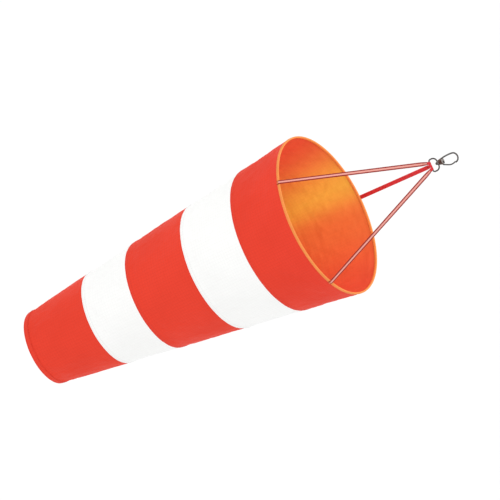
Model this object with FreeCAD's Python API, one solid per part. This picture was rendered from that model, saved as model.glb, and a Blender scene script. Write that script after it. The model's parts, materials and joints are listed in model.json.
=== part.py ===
"""Small hanging windsock: tapered fabric sock on a hooped mouth, three-leg tape bridle, swivel snap hook.

Millimetres.  +Z is up.  The origin is the seat inside the hook's bow, on the swivel axis, and the sock
hangs below it as it does in still air.  The hook and the eye lie in the XZ plane, and the eye's straight
bar runs along X.
"""
import FreeCAD
import Part
import math
import os

from FreeCAD import Vector

# ---- driving dimensions: snap hook -----------------------------------------------------------------
BOW_WIRE = 2.8            # diameter of the bow's wire
BOW_RADIUS = 8.5          # centreline radius of the bow's round top
BOW_OFFSET = 3.1          # the bow's centre stands this far to +X of the swivel axis
BOW_FOOT = (-4.2, -29.5)  # X and Z of the spine's foot, inside the barrel
SPINE_ANGLE = 174.0       # the round top turns into the gently bowed spine here
NOSE_ANGLE = 2.0          # the bow ends this far above its centre, on the gate's side
NOTCH_TOP = -4.5          # the nose is cut away on its inner side below this height
NOTCH_X = 12.05           # the lip left outside the notch starts here
BARREL_RADIUS = 6.2       # at its top; it narrows towards the eye
BARREL_FOOT_RADIUS = 4.6
BARREL_TOP = -26.8
BARREL_HEIGHT = 8.2
BARREL_CHAMFER = 0.6
SLOT_X = 0.5              # inner wall of the slot that the gate's knuckle sits in
SLOT_Y = (-1.5, 2.6)      # the slot is wider on +Y, where the spring is
SLOT_FLOOR = -33.4
PIVOT = (3.2, -30.6)      # X and Z of the gate's pivot
PIN_RADIUS = 1.0
PIN_LENGTH = 14.0         # before its ends are dressed
PIN_PROUD = 0.12
RUNNING_GAP = 0.05        # radial clearance of each pin in what turns on it
GATE_WIRE = 2.4
GATE_POINTS = ((6.6, -28.9), (12.9, -15.0), (10.4, -5.6))  # X and Z of its two bends and its tip
GATE_BENDS = (2.5, 16.0)  # centreline radii of the bends
KNUCKLE_RADIUS = 2.4
KNUCKLE_HALF = 1.3        # half the knuckle's length along Y
SPRING_WIRE = 0.4
SPRING_RADIUS = 1.6       # mean radius of the coil round the pin
SPRING_START = 1.75       # Y of the coil's first turn
SPRING_PITCH = 0.45
SPRING_TURNS = 1.0

# ---- driving dimensions: swivel and eye --------------------------------------------------------------
STUD_RADIUS = 1.8
STUD_IN_BARREL = 1.0      # how far the stud is pressed up into the barrel
WASHER_RADIUS = 3.8
WASHER_THICK = 0.5
SWIVEL_PLAY = 0.15        # axial gap at each face of the swivel
BOSS_RADIUS = 3.4
BOSS_HEIGHT = 3.0
STUD_HEAD_RADIUS = 2.5
STUD_HEAD_HEIGHT = 3.0
EYE_WIRE = 2.6
EYE_HALF_WIDTH = 11.2     # centreline, along X
EYE_BAR_Z = -52.0         # centreline height of the straight bar
EYE_CORNER = 4.0          # centreline radius beside the bar
EYE_SHOULDER = 8.0        # centreline radius of the shoulders beside the boss

# ---- driving dimensions: sock ------------------------------------------------------------------------
MOUTH_AHEAD = 217.6       # the eye's bar stands this far ahead of the mouth's plane
SOCK_LENGTH = 600.0
MOUTH_RADIUS = 147.0      # the fabric's outer face, carried up to the mouth's plane
TAIL_RADIUS = 67.25
FABRIC = 0.5              # each fabric wall, thicker than the cloth so that it is a closed solid
LAYER_GAP = 0.05          # between fabric layers
BANDS = (                 # name and length along the axis, from the mouth to the tail
    ("red_band_mouth", 112.5),
    ("white_band_front", 117.5),
    ("red_band_middle", 130.0),
    ("white_band_rear", 103.0),
    ("red_band_tail", 137.0),
)
LINING_DEPTH = 150.0
HOOP_WIRE = 1.6
FERRULE_WALL = 0.2
FERRULE_LENGTH = 20.0
FERRULE_ANGLE = 120.0     # where round the mouth the hoop's ends meet, from -Y towards +X
BINDING = 0.45            # thickness of the mouth's binding
BINDING_HEIGHT = 4.6
HEM_THICK = 0.4
HEM_HEIGHT = 10.0

# ---- driving dimensions: bridle ----------------------------------------------------------------------
TAPE_WIDTH = 7.2
TAPE_THICK = 0.8
LOOP_WIDTH = 5.0          # each tape is gathered this narrow where it goes round the eye's bar
LOOP_GAP = 0.25           # between the bar and the tape round it
LOOP_DOUBLED = 16.0       # the tape lies double for this far below the bar
TACK_LENGTH = 5.0
TACK_THICK = 0.25
LEGS = (                  # name, X on the eye's bar, angle round the mouth from -Y towards +X
    ("left", -5.6, -36.0),
    ("right", 4.8, 46.6),
    ("rear", -0.4, 181.3),
)

SLOPE = (MOUTH_RADIUS - TAIL_RADIUS) / SOCK_LENGTH
MOUTH_Z = EYE_BAR_Z - MOUTH_AHEAD
BOW_CENTRE = (BOW_OFFSET, -math.sqrt((BOW_RADIUS - BOW_WIRE / 2) ** 2 - BOW_OFFSET ** 2))
BARREL_BOTTOM = BARREL_TOP - BARREL_HEIGHT
BOSS_TOP = BARREL_BOTTOM - WASHER_THICK - 2 * SWIVEL_PLAY
BOSS_BOTTOM = BOSS_TOP - BOSS_HEIGHT
HOOP_CAVITY = HOOP_WIRE / 2 + FERRULE_WALL + LAYER_GAP
HOOP_DEPTH = HOOP_CAVITY + BINDING
HOOP_RADIUS = MOUTH_RADIUS - SLOPE * HOOP_DEPTH - HOOP_CAVITY
LAYERS = 2 * FABRIC + 2 * LAYER_GAP

AXIS = Vector(0, 0, 1)
ORIGIN = Vector(0, 0, 0)


# ---- geometry helpers --------------------------------------------------------------------------------
def fabric_radius(depth):
    """Radius of the sock's outer face at a depth below the mouth's plane."""
    return MOUTH_RADIUS - SLOPE * depth


def in_xz(x, z, y=0.0):
    return Vector(x, y, z)


def around(angle):
    """Unit vector out from the sock's axis, angle in degrees from -Y towards +X."""
    turn = math.radians(angle)
    return Vector(math.sin(turn), -math.cos(turn), 0)


def rounded_edges(points, radii):
    """Straight runs through the points, with a tangent arc of the given radius at each inner point."""
    edges = []
    last = points[0]
    for corner, radius, following in zip(points[1:-1], radii, points[2:]):
        back = (last - corner).normalize()
        ahead = (following - corner).normalize()
        half = back.getAngle(ahead) / 2
        cut = radius / math.tan(half)
        middle = corner + (back + ahead).normalize() * (radius / math.sin(half) - radius)
        start = corner + back * cut
        end = corner + ahead * cut
        if (start - last).Length > 1e-6:
            edges.append(Part.LineSegment(last, start).toShape())
        edges.append(Part.Arc(start, middle, end).toShape())
        last = end
    edges.append(Part.LineSegment(last, points[-1]).toShape())
    return edges


def wire_body(edges, diameter):
    """A round wire along the edges."""
    path = Part.Wire(edges)
    start = path.Edges[0]
    first = start.firstVertex().Point
    ahead = start.tangentAt(start.FirstParameter)
    ring = Part.Wire(Part.makeCircle(diameter / 2, first, ahead))
    return path.makePipeShell([ring], True, True)


def turned(points, angle=360.0, start=0.0):
    """Turn a closed outline about Z.  Each point is (radius, depth below the mouth's plane)."""
    corners = [Vector(radius, 0, MOUTH_Z - depth) for radius, depth in points]
    outline = Part.makePolygon(corners + corners[:1])
    body = Part.Face(outline).revolve(ORIGIN, AXIS, angle)
    body.rotate(ORIGIN, AXIS, start)
    return body


def turned_face(edges, angle=360.0, start=0.0):
    body = Part.Face(Part.Wire(edges)).revolve(ORIGIN, AXIS, angle)
    body.rotate(ORIGIN, AXIS, start)
    return body


def box(low, high):
    return Part.makeBox(high[0] - low[0], high[1] - low[1], high[2] - low[2], Vector(*low))


def cone_shell(top, bottom, outer, inner):
    """Part of the sock's cone between two depths, offset inwards from the outer face."""
    return turned([
        (fabric_radius(top) - outer, top),
        (fabric_radius(bottom) - outer, bottom),
        (fabric_radius(bottom) - inner, bottom),
        (fabric_radius(top) - inner, top),
    ])


# ---- snap hook ---------------------------------------------------------------------------------------
def hook_bow():
    """Wire bow: a gently bowed spine up from the barrel, round the top, to a notched nose."""
    centre = in_xz(*BOW_CENTRE)
    foot = in_xz(*BOW_FOOT)
    spine_turn = math.radians(SPINE_ANGLE)
    nose_turn = math.radians(NOSE_ANGLE)

    def on_bow(turn):
        return centre + in_xz(math.cos(turn), math.sin(turn)) * BOW_RADIUS

    top = on_bow(spine_turn)
    chord = foot - top
    heading = in_xz(-math.sin(spine_turn), math.cos(spine_turn))
    turn = heading.getAngle(chord)
    sagitta = chord.Length / 2 * math.tan(turn / 2)
    outward = (heading - chord.normalize() * math.cos(turn)).normalize()
    edges = [
        Part.Arc(foot, (foot + top) / 2 + outward * sagitta, top).toShape(),
        Part.Arc(top, on_bow((spine_turn + nose_turn) / 2), on_bow(nose_turn)).toShape(),
    ]
    notch = box((NOTCH_X - 4, -4, NOTCH_TOP - 6), (NOTCH_X, 4, NOTCH_TOP))
    return wire_body(edges, BOW_WIRE).cut(notch)


def barrel_cone(grow=0.0):
    foot = Vector(0, 0, BARREL_BOTTOM)
    return Part.makeCone(BARREL_FOOT_RADIUS + grow, BARREL_RADIUS + grow, BARREL_HEIGHT, foot)


def pin_rod(radius=PIN_RADIUS):
    start = in_xz(*PIVOT, y=-PIN_LENGTH / 2)
    return Part.makeCylinder(radius, PIN_LENGTH, start, Vector(0, 1, 0))


def gate_pin():
    """Pin through the knuckle, its ends dressed to the barrel's taper and a hair proud of it."""
    return pin_rod().common(barrel_cone(PIN_PROUD))


def swivel_barrel(bow):
    """Turned taper barrel, slotted for the gate's knuckle and bored for the spine, the pin and the stud."""
    body = barrel_cone()
    rims = [e for e in body.Edges if isinstance(e.Curve, Part.Circle)]
    body = body.makeChamfer(BARREL_CHAMFER, rims)
    slot = box((SLOT_X, SLOT_Y[0], SLOT_FLOOR), (BARREL_RADIUS + 2, SLOT_Y[1], BARREL_TOP + 1))
    stud_bore = Part.makeCylinder(STUD_RADIUS, STUD_IN_BARREL, Vector(0, 0, BARREL_BOTTOM))
    return body.cut(slot).cut(stud_bore).cut(bow).cut(pin_rod())


def hook_gate():
    """Wire gate on a knuckle that turns on the pin; its tip shuts inside the nose's lip."""
    pivot = in_xz(*PIVOT)
    sideways = Vector(0, 1, 0)
    knuckle = Part.makeCylinder(KNUCKLE_RADIUS, 2 * KNUCKLE_HALF, pivot - sideways * KNUCKLE_HALF, sideways)
    edges = rounded_edges([pivot] + [in_xz(*point) for point in GATE_POINTS], GATE_BENDS)
    arm = wire_body(edges, GATE_WIRE)
    return knuckle.fuse(arm).cut(pin_rod(PIN_RADIUS + RUNNING_GAP)).removeSplitter()


def gate_spring():
    """Torsion spring beside the knuckle: one leg on the slot's floor, the other along the gate."""
    height = SPRING_PITCH * SPRING_TURNS
    coil = Part.makeHelix(SPRING_PITCH, height, SPRING_RADIUS)
    coil.rotate(ORIGIN, Vector(1, 0, 0), -90)
    coil.rotate(ORIGIN, Vector(0, 1, 0), 180)
    coil.translate(in_xz(*PIVOT, y=SPRING_START))
    start = coil.Edges[0].firstVertex().Point
    end = coil.Edges[-1].lastVertex().Point
    floor = Vector(start.x, start.y, SLOT_FLOOR + SPRING_WIRE / 2)
    reach = Vector(end.x, end.y, BARREL_TOP - 0.6)
    legs = [
        Part.makeCylinder(SPRING_WIRE / 2, (start - floor).Length, floor, start - floor),
        Part.makeCylinder(SPRING_WIRE / 2, (reach - end).Length, end, reach - end),
    ]
    first = coil.Edges[0]
    ring = Part.Wire(Part.makeCircle(SPRING_WIRE / 2, start, first.tangentAt(first.FirstParameter)))
    body = Part.Wire(coil.Edges).makePipeShell([ring], True, True)
    return body.fuse(legs[0]).fuse(legs[1])


# ---- swivel and eye ----------------------------------------------------------------------------------
def swivel_stud():
    """Stud pressed into the barrel, with the domed head inside the eye that holds the swivel together."""
    top = BARREL_BOTTOM + STUD_IN_BARREL
    head_top = BOSS_BOTTOM - SWIVEL_PLAY
    shank = Part.makeCylinder(STUD_RADIUS, top - head_top, Vector(0, 0, head_top))
    base = Part.makeCylinder(STUD_HEAD_RADIUS, STUD_HEAD_HEIGHT, Vector(0, 0, head_top - STUD_HEAD_HEIGHT))
    lower_rim = [e for e in base.Edges if isinstance(e.Curve, Part.Circle) and e.Curve.Center.z < head_top - 1]
    return base.makeFillet(STUD_HEAD_HEIGHT * 0.6, lower_rim).fuse(shank).removeSplitter()


def swivel_washer():
    low = Vector(0, 0, BARREL_BOTTOM - SWIVEL_PLAY - WASHER_THICK)
    ring = Part.makeCylinder(WASHER_RADIUS, WASHER_THICK, low)
    return ring.cut(Part.makeCylinder(STUD_RADIUS + RUNNING_GAP, WASHER_THICK, low))


def swivel_eye():
    """Wire eye with a straight bar below and a bored boss on top that turns on the stud."""
    boss = Part.makeCylinder(BOSS_RADIUS, BOSS_HEIGHT, Vector(0, 0, BOSS_BOTTOM))
    rims = [e for e in boss.Edges if isinstance(e.Curve, Part.Circle)]
    boss = boss.makeChamfer(BARREL_CHAMFER / 2, rims)
    top = (BOSS_TOP + BOSS_BOTTOM) / 2
    inner = BOSS_RADIUS - 1.2
    points = [
        in_xz(inner, top),
        in_xz(EYE_HALF_WIDTH, top),
        in_xz(EYE_HALF_WIDTH, EYE_BAR_Z),
        in_xz(-EYE_HALF_WIDTH, EYE_BAR_Z),
        in_xz(-EYE_HALF_WIDTH, top),
        in_xz(-inner, top),
    ]
    loop = wire_body(rounded_edges(points, [EYE_SHOULDER, EYE_CORNER, EYE_CORNER, EYE_SHOULDER]), EYE_WIRE)
    bore = Part.makeCylinder(STUD_RADIUS + RUNNING_GAP, BOSS_HEIGHT, Vector(0, 0, BOSS_BOTTOM))
    return boss.fuse(loop).cut(bore)


# ---- sock --------------------------------------------------------------------------------------------
def mouth_hoop():
    """Spring wire hoop whose two ends nearly meet inside the ferrule."""
    ring = Part.makeCircle(HOOP_WIRE / 2, Vector(HOOP_RADIUS, 0, MOUTH_Z - HOOP_DEPTH), Vector(0, 1, 0))
    gap = math.degrees(0.6 / HOOP_RADIUS)
    return turned_face([ring], 360.0 - gap, FERRULE_ANGLE - 90.0 + gap / 2)


def hoop_ferrule():
    """Crimped sleeve over the hoop's two ends."""
    centre = Vector(HOOP_RADIUS, 0, MOUTH_Z - HOOP_DEPTH)
    sweep = math.degrees(FERRULE_LENGTH / HOOP_RADIUS)
    start = FERRULE_ANGLE - 90.0 - sweep / 2
    sleeve = [
        turned_face([Part.makeCircle(radius, centre, Vector(0, 1, 0))], sweep, start)
        for radius in (HOOP_WIRE / 2 + FERRULE_WALL, HOOP_WIRE / 2)
    ]
    return sleeve[0].cut(sleeve[1])


def binding_side(offset, top_radius, slant):
    """One face of the binding, from the foot of its outer leg over the hoop to the foot of its inner leg.

    offset is measured out from the cavity's wall, top_radius is the arc's radius over the hoop, and
    slant is the depth range over which the inner leg comes in under the hoop.
    """
    def at(radius, depth):
        return Vector(radius, 0, MOUTH_Z - depth)

    inner = HOOP_RADIUS - top_radius
    points = [
        at(fabric_radius(BINDING_HEIGHT) + offset, BINDING_HEIGHT),
        at(HOOP_RADIUS + top_radius, HOOP_DEPTH),
        at(HOOP_RADIUS, HOOP_DEPTH - top_radius),
        at(inner, HOOP_DEPTH),
        at(inner, slant[0]),
        at(fabric_radius(slant[1]) - LAYERS - offset, slant[1]),
        at(fabric_radius(BINDING_HEIGHT) - LAYERS - offset, BINDING_HEIGHT),
    ]
    edges = [Part.LineSegment(points[0], points[1]).toShape()]
    edges.append(Part.Arc(points[1], points[2], points[3]).toShape())
    edges += [Part.LineSegment(a, b).toShape() for a, b in zip(points[3:], points[4:])]
    return edges, points[0], points[-1]


def mouth_binding():
    """Folded tape over the hoop and both fabric layers, all round the mouth."""
    outside, outer_foot, inner_foot = binding_side(BINDING, HOOP_DEPTH, (2.25, 3.45))
    cavity, outer_wall, inner_wall = binding_side(0.0, HOOP_CAVITY, (2.1, 3.3))
    feet = [
        Part.LineSegment(inner_foot, inner_wall).toShape(),
        Part.LineSegment(outer_wall, outer_foot).toShape(),
    ]
    ordered = Part.__sortEdges__(outside + feet + cavity)
    return turned_face(ordered)


def bands():
    """The sock's fabric bands, sewn edge to edge."""
    made = {}
    depth = 0.0
    for name, length in BANDS:
        top = 2.8 if depth == 0.0 else depth
        made[name] = cone_shell(top, depth + length, 0.0, FABRIC)
        depth += length
    return made


def mouth_lining():
    outer = FABRIC + LAYER_GAP
    return cone_shell(3.0, LINING_DEPTH, outer, outer + FABRIC)


def tail_hem():
    return cone_shell(SOCK_LENGTH - HEM_HEIGHT, SOCK_LENGTH, -HEM_THICK, 0.0)


# ---- bridle ------------------------------------------------------------------------------------------
def tape_section(centre, across, width, thick):
    """Level rectangle: width along the unit vector across, thick at right angles to it."""
    through = AXIS.cross(across)
    corners = [
        centre + across * (side * width / 2) + through * (face * thick / 2)
        for side, face in ((-1, -1), (1, -1), (1, 1), (-1, 1))
    ]
    return Part.makePolygon(corners + corners[:1])


class Leg:
    """One bridle leg, from its loop round the eye's bar to the outside of the mouth's binding."""

    def __init__(self, bar_x, angle):
        self.angle = angle
        self.out = around(angle)
        self.tangent = AXIS.cross(self.out)
        if self.tangent.x < 0:
            self.tangent = self.tangent * -1
        self.start = Vector(bar_x, 0, EYE_BAR_Z - EYE_WIRE / 2 - LOOP_GAP - 0.1)
        fall = math.atan2(HOOP_RADIUS, MOUTH_AHEAD)
        reach = HOOP_DEPTH + TAPE_THICK / 2 + 0.03  # clear of a graze along the foot's outer face
        self.lean = fall
        self.end = self.out * (HOOP_RADIUS + reach * math.cos(fall))
        self.end.z = MOUTH_Z - HOOP_DEPTH + reach * math.sin(fall)

    def across(self, share):
        """The tape turns from lying along the bar to lying along the rim."""
        turn = Vector(1, 0, 0) * (1 - share) + self.tangent * share
        return turn.normalize()

    def at(self, share):
        return self.start + (self.end - self.start) * share

    def share_of(self, distance):
        return distance / (self.end - self.start).Length

    def rim_strip(self, inner, outer, angle_top, depth_range):
        """Strip bent over the binding's outer shoulder, or on its outer leg alone when angle_top is None."""
        centre = Vector(HOOP_RADIUS, 0, MOUTH_Z - HOOP_DEPTH)

        def shoulder(radius, turn):
            return centre + Vector(math.cos(turn), 0, math.sin(turn)) * radius

        def leg(offset, depth):
            return Vector(fabric_radius(depth) + BINDING + offset, 0, MOUTH_Z - depth)

        top, foot = depth_range
        if angle_top is None:
            points = [leg(inner, top), leg(outer, top), leg(outer, foot), leg(inner, foot)]
            edges = Part.makePolygon(points + points[:1]).Edges
        else:
            low = HOOP_DEPTH + inner
            high = HOOP_DEPTH + outer
            edges = [
                Part.Arc(shoulder(low, angle_top), shoulder(low, angle_top / 2), shoulder(low, 0)).toShape(),
                Part.LineSegment(shoulder(low, 0), leg(inner, foot)).toShape(),
                Part.LineSegment(leg(inner, foot), leg(outer, foot)).toShape(),
                Part.LineSegment(leg(outer, foot), shoulder(high, 0)).toShape(),
                Part.Arc(shoulder(high, 0), shoulder(high, angle_top / 2), shoulder(high, angle_top)).toShape(),
                Part.LineSegment(shoulder(high, angle_top), shoulder(low, angle_top)).toShape(),
            ]
        return edges

    def over_rim(self, inner, outer, angle_top, depth_range, width):
        sweep = math.degrees(width / HOOP_RADIUS)
        edges = self.rim_strip(inner, outer, angle_top, depth_range)
        return turned_face(edges, sweep, self.angle - 90.0 - sweep / 2)

    def tape(self):
        level = TAPE_THICK / math.cos(self.lean)
        doubled = self.share_of(LOOP_DOUBLED)
        after = self.share_of(LOOP_DOUBLED + 1.0)
        upper = Part.makeLoft([
            tape_section(self.at(0), Vector(1, 0, 0), LOOP_WIDTH, 2 * TAPE_THICK),
            tape_section(self.at(doubled), self.across(doubled), TAPE_WIDTH, 2 * TAPE_THICK),
        ], True, True)
        taper = Part.makeLoft([
            tape_section(self.at(doubled), self.across(doubled), TAPE_WIDTH, 2 * TAPE_THICK),
            tape_section(self.at(after), self.across(after), TAPE_WIDTH, level),
        ], True, True)
        lower = Part.makeLoft([
            tape_section(self.at(after), self.across(after), TAPE_WIDTH, level),
            tape_section(self.at(1), self.across(1), TAPE_WIDTH, level),
        ], True, True)
        ring_low = Vector(self.start.x - LOOP_WIDTH / 2, 0, EYE_BAR_Z)
        ring_inner = EYE_WIRE / 2 + LOOP_GAP
        ring = Part.makeCylinder(ring_inner + TAPE_THICK, LOOP_WIDTH, ring_low, Vector(1, 0, 0))
        hole = Part.makeCylinder(ring_inner, LOOP_WIDTH, ring_low, Vector(1, 0, 0))
        foot = self.over_rim(0.0, TAPE_THICK, self.lean, (0.0, BINDING_HEIGHT), TAPE_WIDTH)
        return ring.fuse([upper, taper, lower, foot]).cut(hole)

    def loop_tack(self):
        """Bar of thread across the doubled tape's outer face, just below the bar."""
        shares = [self.share_of(LOOP_DOUBLED - 3.0 - TACK_LENGTH), self.share_of(LOOP_DOUBLED - 3.0)]
        outward = 1.0 if AXIS.cross(self.across(0)).dot(self.out) > 0 else -1.0
        sections = []
        for share in shares:
            across = self.across(share)
            through = AXIS.cross(across) * outward
            middle = self.at(share) + through * (TAPE_THICK + 0.02 + TACK_THICK / 2)
            sections.append(tape_section(middle, across, LOOP_WIDTH - 0.8, TACK_THICK))
        return Part.makeLoft(sections, True, True)

    def rim_tack(self):
        """Bar of thread through the tape's end and the binding."""
        return self.over_rim(TAPE_THICK, TAPE_THICK + TACK_THICK, None, (2.0, 4.1), TAPE_WIDTH - 1.0)


# ---- all pieces --------------------------------------------------------------------------------------
def all_pieces():
    bow = hook_bow()
    legs = {name: Leg(bar_x, angle) for name, bar_x, angle in LEGS}
    pieces = {
        "hook_bow": bow,
        "swivel_barrel": swivel_barrel(bow),
        "gate_pin": gate_pin(),
        "hook_gate": hook_gate(),
        "gate_spring": gate_spring(),
        "swivel_stud": swivel_stud(),
        "swivel_washer": swivel_washer(),
        "swivel_eye": swivel_eye(),
        "mouth_hoop": mouth_hoop(),
        "hoop_ferrule": hoop_ferrule(),
        "mouth_binding": mouth_binding(),
        "mouth_lining": mouth_lining(),
        "tail_hem": tail_hem(),
        "bridle_loop_tacks": Part.makeCompound([leg.loop_tack() for leg in legs.values()]),
        "bridle_rim_tacks": Part.makeCompound([leg.rim_tack() for leg in legs.values()]),
    }
    pieces.update({f"bridle_tape_{name}": leg.tape() for name, leg in legs.items()})
    pieces.update(bands())
    return pieces


def main():
    os.makedirs("parts", exist_ok=True)
    for name, shape in all_pieces().items():
        solids = shape.Solids
        sound = bool(solids) and all(s.isValid() and s.Volume > 0 for s in solids)
        solid = solids[0] if len(solids) == 1 else Part.makeCompound(solids)
        solid.exportStep(f"parts/{name}.step")
        print(f"{name:20s} solids {len(solids)}  volume {solid.Volume:10.2f}  {'ok' if sound else 'NOT SOUND'}")


main()
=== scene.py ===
"""Looks of the hanging windsock: cloth bands, lining, binding, bridle tapes, stitching and snap hook.

Metres, in the CAD frame: +Z is up, the origin is the seat in the hook's bow, and the sock hangs below.
Round the sock, angles run from -Y towards +X.
"""

import json
import math

import bpy
import numpy as np
from mathutils import Matrix, Vector, noise


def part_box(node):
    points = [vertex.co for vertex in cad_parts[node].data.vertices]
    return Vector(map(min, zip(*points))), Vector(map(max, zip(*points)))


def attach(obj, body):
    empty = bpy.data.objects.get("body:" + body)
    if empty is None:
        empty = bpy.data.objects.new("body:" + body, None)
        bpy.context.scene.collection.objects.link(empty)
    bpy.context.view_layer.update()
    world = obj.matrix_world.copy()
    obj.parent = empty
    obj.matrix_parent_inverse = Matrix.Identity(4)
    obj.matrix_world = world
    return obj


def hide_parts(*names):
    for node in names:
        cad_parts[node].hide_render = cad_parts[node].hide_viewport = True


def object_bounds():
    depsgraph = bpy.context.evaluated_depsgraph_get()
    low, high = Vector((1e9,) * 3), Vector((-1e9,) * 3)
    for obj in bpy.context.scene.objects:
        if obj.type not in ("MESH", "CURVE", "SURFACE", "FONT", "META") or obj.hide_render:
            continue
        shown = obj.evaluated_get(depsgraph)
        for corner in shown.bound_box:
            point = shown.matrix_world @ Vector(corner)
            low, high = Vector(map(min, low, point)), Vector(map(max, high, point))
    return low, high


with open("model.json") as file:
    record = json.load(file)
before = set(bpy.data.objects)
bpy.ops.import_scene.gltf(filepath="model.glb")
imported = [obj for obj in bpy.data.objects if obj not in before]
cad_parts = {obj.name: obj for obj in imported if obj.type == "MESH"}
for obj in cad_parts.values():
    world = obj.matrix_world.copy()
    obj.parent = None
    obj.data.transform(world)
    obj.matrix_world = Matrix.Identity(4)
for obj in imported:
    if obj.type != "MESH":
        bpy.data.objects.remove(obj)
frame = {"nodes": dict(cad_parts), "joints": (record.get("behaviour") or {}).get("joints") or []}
cad_low, cad_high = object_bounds()

MM = 0.001

# ---- the sock's cone, read from the frame ------------------------------------------------------------
BANDS = ("red_band_mouth", "white_band_front", "red_band_middle", "white_band_rear", "red_band_tail")
MOUTH_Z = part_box("mouth_binding")[1].z
TAIL_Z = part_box("red_band_tail")[0].z
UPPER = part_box("white_band_front")[1]
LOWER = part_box("red_band_tail")[1]
SLOPE = (UPPER.x - LOWER.x) / (UPPER.z - LOWER.z)
MOUTH_RADIUS = UPPER.x + SLOPE * (MOUTH_Z - UPPER.z)
SOCK_LENGTH = MOUTH_Z - TAIL_Z
BAND_ENDS = [MOUTH_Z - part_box(name)[0].z for name in BANDS]
LINING_END = MOUTH_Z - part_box("mouth_lining")[0].z
HOOP_LOW, HOOP_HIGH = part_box("mouth_hoop")
HOOP_WIRE = (HOOP_HIGH.z - HOOP_LOW.z) / 2
HOOP_RADIUS = HOOP_HIGH.y - HOOP_WIRE
HOOP_DEPTH = MOUTH_Z - (HOOP_HIGH.z + HOOP_LOW.z) / 2
BINDING_HEIGHT = MOUTH_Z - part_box("mouth_binding")[0].z
HEM_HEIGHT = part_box("tail_hem")[1].z - TAIL_Z
BAR_Z = next(j for j in frame["joints"] if j["name"] == "sock_swing")["pos_m"][2]
BAR_RADIUS = BAR_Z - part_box("swivel_eye")[0].z

# ---- cloth, tape and thread --------------------------------------------------------------------------
CLOTH = 0.28 * MM          # thickness of one layer
LAP = 8.0 * MM             # width of a lapped seam
FOLD_RISE = 0.55 * MM      # how far a lap's folded edge stands out
SEAM_ANGLE = 180.0         # the bands close on the sock's +Y side
LINING_SEAM_ANGLE = 0.0
TAPE_THICK = 0.8 * MM
TAPE_WIDTH = 7.2 * MM
LOOP_WIDTH = 5.0 * MM      # gathered this narrow round the eye's bar
LOOP_DOUBLED = 16.0 * MM   # from the bar down to where the turned-back end stops
THROAT = 4.4 * MM          # from the bar down to where the loop's two layers meet
# each leg's name, its place along the bar and its angle round the mouth
LEGS = (("left", -5.6 * MM, -36.0), ("right", 4.8 * MM, 46.6), ("rear", -0.4 * MM, 181.3))
THREAD = 0.17 * MM         # radius of a sewing thread
THREAD_SIDES = 6
STITCH = 2.7 * MM
STITCH_GAP = 0.9 * MM
STITCH_SINK = 0.12 * MM    # how far a stitch's ends go into the cloth
STITCH_RISE = 0.16 * MM    # and its middle stands out of it
COLUMNS = 360              # mesh columns round the sock
ROW_STEP = 3.0 * MM        # height of a mesh row down the sock

# ---- camera ------------------------------------------------------------------------------------------
VIEW_ELEVATION = 26.1      # degrees above the mouth's plane
VIEW_ROLL = 64.77          # degrees; the sock's axis leans this far over in the picture
AIM_DEPTH = 0.1642         # the camera aims at the axis this far below the mouth
AIM_SIDE = -0.0024         # and this far to the side of it, along X
VIEW_WIDTH = 0.8635        # metres across the picture, at the aim
LENS = 1600.0              # millimetres, as is the sensor
SENSOR = 36.0


# ---- geometry helpers --------------------------------------------------------------------------------
def around(angle):
    """The direction straight out from the sock's axis at an angle."""
    turn = math.radians(angle)
    return Vector((math.sin(turn), -math.cos(turn), 0.0))


def cone_radius(depth):
    return MOUTH_RADIUS - SLOPE * depth


def smooth(value, low, high):
    """0 below low, 1 above high, and a smooth step between."""
    share = min(1.0, max(0.0, (value - low) / (high - low)))
    return share * share * (3 - 2 * share)


def new_object(name, verts, faces, body, materials, flat=None, face_slots=None):
    """A mesh object that rides on a body.  flat gives each face corner's place on the flat cloth."""
    mesh = bpy.data.meshes.new(name)
    mesh.from_pydata([tuple(v) for v in verts], [], faces)
    if flat is not None:
        layer = mesh.uv_layers.new(name="flat")
        layer.data.foreach_set("uv", np.asarray(flat, dtype=np.float32).ravel())
    for material in materials:
        mesh.materials.append(material)
    if face_slots is not None:
        mesh.polygons.foreach_set("material_index", face_slots)
    mesh.polygons.foreach_set("use_smooth", [True] * len(mesh.polygons))
    mesh.validate()
    mesh.update()
    piece = bpy.data.objects.new(name, mesh)
    bpy.context.scene.collection.objects.link(piece)
    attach(piece, body)
    return piece


# ---- how the cloth hangs -----------------------------------------------------------------------------
GUIDE_ROWS = 120
GUIDE_COLUMNS = 180
DRAPE_FRAMES = 24
DRAPE_LIMIT = 1.6 * MM     # the furthest that the cloth may leave the cone
SEAM_HOLD = 0.55           # how firmly a seam keeps its place; 1 is fixed
SEAM_REACH = 6 * MM
SEAM_DEPTHS = BAND_ENDS[:-1]


def cone_point(depth, angle, out=0.0):
    """A point on the plain cone, moved out along the cone's normal."""
    lean = math.atan(SLOPE)
    radial = cone_radius(depth) + out * math.cos(lean)
    point = around(angle) * radial
    point.z = MOUTH_Z - depth + out * math.sin(lean)
    return point


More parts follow.
